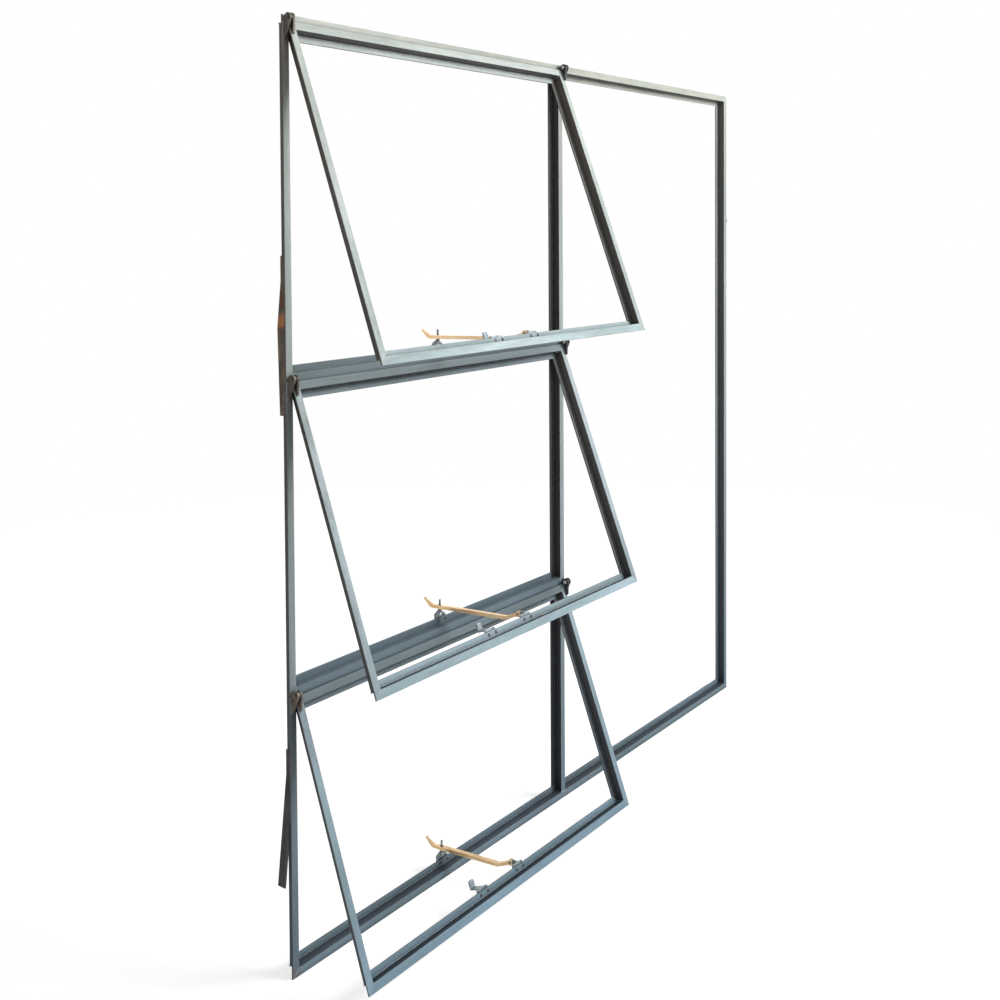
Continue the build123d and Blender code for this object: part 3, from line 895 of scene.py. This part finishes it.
# the transoms' ends are welded above, below and on the face, the mullion's ends on the face and both sides
frameWeld = {
    "faceRun": 0.016,
    "aboveStart": 0.001,
    "sideStart": 0.004,
    "aboveScale": 1.6,
    "belowScale": 1.4,
    "faceScale": 0.9,
    "mullionFace": (-0.0015, 0.0125),
    "mullionWeb": 0.0015,
    "mullionEnds": ((0.003, 1.0), (1.515, -1.0)),  # each level, and the way its welds look
}


def weldFrame():
    shape = bmesh.new()
    weldCorners(
        shape, Matrix.Identity(4), frameEdges["left"], frameEdges["right"],
        frameEdges["foot"], frameEdges["head"], frameEdges["face"],
    )
    face = frameEdges["face"]
    room = -face - barSection["wall"]
    above, side = face + frameWeld["aboveStart"], face + frameWeld["sideStart"]
    transomLeft = frameEdges["left"] + barSection["webInset"]
    transomRight = -barSection["wall"] / 2
    for row in ("upper", "middle"):
        level = sashRows[row]["stop"]
        under = level - barSection["wall"]
        for x, inX in ((transomLeft, 1.0), (transomRight, -1.0)):
            layBead(shape, (x, above, level), (x, room, level), (inX, 0, 1), frameWeld["aboveScale"])
            layBead(
                shape, (x, face, level), (x, face, level - frameWeld["faceRun"]),
                (0, -1, 0), frameWeld["faceScale"],
            )
            layBead(shape, (x, side, under), (x, room, under), (inX, 0, -1), frameWeld["belowScale"])
    for z, upward in frameWeld["mullionEnds"]:
        start, end = frameWeld["mullionFace"]
        layBead(shape, (start, face, z), (end, face, z), (0, -1, 0), frameWeld["faceScale"])
        for out in (1.0, -1.0):
            x = out * frameWeld["mullionWeb"]
            layBead(shape, (x, side, z), (x, room, z), (out, 0, upward), frameWeld["belowScale"])
    finishPiece(shape, "frame_weld_beads", beadPrimer)


def weldSash(row):
    shape = bmesh.new()
    foot = -sashEdges["pivotAbove"] - sashRows[row]["height"]
    weldCorners(
        shape, sashSeat(row), sashEdges["left"], sashEdges["right"],
        foot, -sashEdges["pivotAbove"], sashEdges["face"],
    )
    finishPiece(shape, f"{row}_sash_weld_beads", beadPrimer)


# hinges: welds at the foot of each plate, a spacer between the plates and a domed pin head
hinge = {
    "plate": 0.0035,
    "bracketGap": 0.0025,
    "armGap": 0.0008,
    "bracketWeld": (0.006, 0.032),  # below the pin, where it starts and ends
    "armWeld": (0.004, 0.026),
    "weldScale": 1.1,
    "headRadius": 0.0040,
    "headStand": 0.002,
    "headSink": 0.0002,
    "dome": 0.0011,
    "domeProfile": ((0.0, 1.0), (0.45, 0.9), (0.8, 0.5), (1.0, 0.0)),  # parts of the radius and the dome
    "spacerInner": 0.003,
    "spacerOuter": 0.0052,
    "spacerPlay": 0.0002,
    "spacerChamfer": 0.0004,
    "steps": 24,
}


def headProfile():
    radius, dome = hinge["headRadius"], hinge["dome"]
    rounded = [(radius * out, dome * up) for out, up in hinge["domeProfile"]]
    return [*rounded, (0.0, -hinge["headSink"])]


def spacerProfile():
    inner, outer = hinge["spacerInner"], hinge["spacerOuter"]
    play, chamfer = hinge["spacerPlay"], hinge["spacerChamfer"]
    low, high = play, hinge["bracketGap"] + hinge["armGap"] - play
    return [
        (inner, low), (outer - chamfer, low), (outer, low + chamfer),
        (outer, high - chamfer), (outer - chamfer, high), (inner, high), (inner, low),
    ]


def dressHinges(row):
    seat = sashSeat(row)
    pivot = seat.translation
    welds = bmesh.new()
    pins = bmesh.new()
    face, scale = frameEdges["face"], hinge["weldScale"]
    bracketTop, bracketEnd = (pivot.z - drop for drop in hinge["bracketWeld"])
    for edge, turn in ((sashEdges["left"], 1.0), (sashEdges["right"], -1.0)):
        bracketX = edge - turn * (hinge["bracketGap"] + hinge["plate"] / 2)
        armX = edge + turn * (hinge["armGap"] + hinge["plate"] / 2)
        for side in (-1.0, 1.0):
            x = bracketX + side * hinge["plate"] / 2
            layBead(welds, (x, face, bracketTop), (x, face, bracketEnd), (side, -1, 0), scale)
            x = armX + side * hinge["plate"] / 2
            start, end = moved(seat, [(x, sashEdges["face"], -drop) for drop in hinge["armWeld"]])
            layBead(welds, start, end, turned(seat, (side, -1, 0)), scale)
        headX = armX + turn * (hinge["plate"] / 2 + hinge["headStand"])
        spacerX = bracketX + turn * hinge["plate"] / 2
        for profile, x in ((headProfile(), headX), (spacerProfile(), spacerX)):
            turnProfile(pins, profile, pointing((turn, 0, 0), (x, pivot.y, pivot.z)), hinge["steps"])
    finishPiece(welds, f"{row}_hinge_weld_beads", beadPrimer)
    finishPiece(pins, f"{row}_hinge_pin_caps", pinSteel)


# rivets through the plates of the stays: a head on the room side and a lower tail on the other
rivet = {
    "pivotX": -0.3355,
    "keeperX": -0.4375,
    "pegX": -0.3635,
    "plate": 0.0025,
    "pegPlate": 0.004,
    "spacing": 0.0195,
    "drop": 0.0048,  # below the flange's tip
    "radius": 0.0030,
    "rise": 0.0014,
    "tailRise": 0.0011,
    "profile": ((0.0, 1.0), (0.35, 0.94), (0.7, 0.7), (0.94, 0.3), (1.0, 0.0)),
    "sink": 0.0003,
    "steps": 20,
}


def rivetHead(shape, spot, direction, rise):
    rounded = [(rivet["radius"] * out, rise * up) for out, up in rivet["profile"]]
    turnProfile(shape, [*rounded, (0.0, -rivet["sink"])], pointing(direction, spot), rivet["steps"])


def rivetPair(shape, seat, middle, plate, room, tip):
    # two rivets beside the middle of a plate that lies on the room side of a flange
    for side in (-0.5, 0.5):
        x, z = middle + side * rivet["spacing"], tip - rivet["drop"]
        head, tail = moved(seat, [(x, room + plate, z), (x, room - barSection["wall"], z)])
        rivetHead(shape, head, turned(seat, (0, 1, 0)), rivet["rise"])
        rivetHead(shape, tail, turned(seat, (0, -1, 0)), rivet["tailRise"])


def rivetStays(row):
    shape = bmesh.new()
    flangeTip = -sashEdges["pivotAbove"] - sashRows[row]["height"] + barSection["width"]
    room = sashEdges["face"] + barSection["depth"]
    for middle in (rivet["pivotX"], rivet["keeperX"]):
        rivetPair(shape, sashSeat(row), middle, rivet["plate"], room, flangeTip)
    stopTip = sashRows[row]["stop"] + barSection["reach"]
    rivetPair(shape, Matrix.Identity(4), rivet["pegX"], rivet["pegPlate"], barSection["depth"] / 2, stopTip)
    finishPiece(shape, f"{row}_stay_rivets", rivetSteel)


# the lugs' feet are welded along both edges on the jambs' webs
lug = {
    "webX": 0.7445,
    "y": 0.0015,
    "width": 0.016,
    "feet": (("left", 1.110, -1), ("left", 0.316, -1), ("right", 1.190, 1), ("right", 0.316, -1)),
    "runs": ((0.002, 0.014), (0.024, 0.036)),
    "weldScale": 1.5,
}


def weldLugs():
    shape = bmesh.new()
    for side, level, way in lug["feet"]:
        turn = -1.0 if side == "left" else 1.0
        x = turn * lug["webX"]
        for edge in (-1.0, 1.0):
            y = lug["y"] + edge * lug["width"] / 2
            for start, end in lug["runs"]:
                layBead(
                    shape, (x, y, level - way * start), (x, y, level - way * end),
                    (turn, edge, 0), lug["weldScale"],
                )
    finishPiece(shape, "lug_weld_beads", lugRust)


weldFrame()
weldLugs()
for row in sashRows:
    weldSash(row)
    dressHinges(row)
    rivetStays(row)
print("welds, hinge pins and rivets added")


# studio: a pale floor, a white surround and soft light, with one lamp on the side that faces the room
studio = {
    "floorLevel": -0.0112,
    "floorSize": 14.0,
    "floorTone": 0.62,
    "floorGlow": 0.62,  # what the eye and reflections see on top of the lit floor
    "whiteFrom": (1.6, 3.2),  # the floor turns white between these distances from the window
    "worldLight": 0.30,
}
lamps = {
    "keyLamp": {"place": (1.9, -3.6, 3.0), "aim": (-0.1, 0.0, 0.9), "size": 2.4, "power": 250.0},
    "fillLamp": {"place": (-4.5, -2.4, 2.6), "aim": (0.0, 0.0, 0.8), "size": 3.0, "power": 12.0},
    "roomLamp": {"place": (2.2, 3.8, 2.6), "aim": (0.0, 0.0, 0.8), "size": 3.0, "power": 45.0},
}


def shownRays(tree):
    # 1 for what the camera, gloss and glass see, and 0 for the light that falls on the window
    rays = addNode(tree, "ShaderNodeLightPath", -600, 300)
    shown = mathNode(tree, "MAXIMUM", -400, 300, rays.outputs["Is Camera Ray"], rays.outputs["Is Glossy Ray"])
    return mathNode(tree, "MAXIMUM", -200, 300, shown, rays.outputs["Is Transmission Ray"])


def makeFloorPaint():
    material = bpy.data.materials.new("paleFloor")
    material.use_nodes = True
    tree = material.node_tree
    tree.nodes.clear()
    output = addNode(tree, "ShaderNodeOutputMaterial", 900, 0)
    tone = studio["floorTone"]
    matt = fill(addNode(tree, "ShaderNodeBsdfDiffuse", 0, 200), Color=(tone, tone, tone, 1.0))
    glow = addNode(tree, "ShaderNodeEmission", 0, 0)
    white = addNode(tree, "ShaderNodeEmission", 0, -200)
    shown = shownRays(tree)
    plug(tree, mathNode(tree, "MULTIPLY", -100, 0, shown, studio["floorGlow"]), glow.inputs["Strength"])
    both = addNode(tree, "ShaderNodeAddShader", 250, 150)
    plug(tree, matt.outputs[0], both.inputs[0])
    plug(tree, glow.outputs[0], both.inputs[1])
    reach = vectorNode(tree, "LENGTH", -400, -300, objectPlace(tree))
    far = ramp(tree, reach, -200, -300, *studio["whiteFrom"])
    blend = addNode(tree, "ShaderNodeMixShader", 600, 0)
    plug(tree, mathNode(tree, "MULTIPLY", 0, -350, far, shown), blend.inputs[0])
    plug(tree, both.outputs[0], blend.inputs[1])
    plug(tree, white.outputs[0], blend.inputs[2])
    plug(tree, blend.outputs[0], output.inputs["Surface"])
    return material


def addFloor():
    shape = bmesh.new()
    bmesh.ops.create_grid(shape, x_segments=4, y_segments=4, size=studio["floorSize"] / 2)
    bmesh.ops.translate(shape, vec=(0, 0, studio["floorLevel"]), verts=shape.verts)
    mesh = bpy.data.meshes.new("floor")
    shape.to_mesh(mesh)
    shape.free()
    mesh.materials.append(makeFloorPaint())
    floor = bpy.data.objects.new("floor", mesh)
    scene.collection.objects.link(floor)


def lightWorld():
    world = bpy.data.worlds.new("studio")
    scene.world = world
    world.use_nodes = True
    tree = world.node_tree
    low = studio["worldLight"]
    background = fill(tree.nodes["Background"], Color=(1.0, 1.0, 1.0, 1.0))
    level = mathNode(tree, "MULTIPLY_ADD", 0, 0, shownRays(tree), 1.0 - low, low)
    plug(tree, level, background.inputs["Strength"])


def addLamp(name, place, aim, size, power):
    lampData = bpy.data.lights.new(name, "AREA")
    lampData.shape = "SQUARE"
    lampData.size = size
    lampData.energy = power
    lamp = bpy.data.objects.new(name, lampData)
    scene.collection.objects.link(lamp)
    towards = (Vector(aim) - Vector(place)).to_track_quat("-Z", "Y").to_matrix().to_4x4()
    lamp.matrix_world = Matrix.Translation(place) @ towards


addFloor()
lightWorld()
for name, settings in lamps.items():
    addLamp(name, **settings)
scene.view_settings.view_transform = "Standard"
print("studio lit")
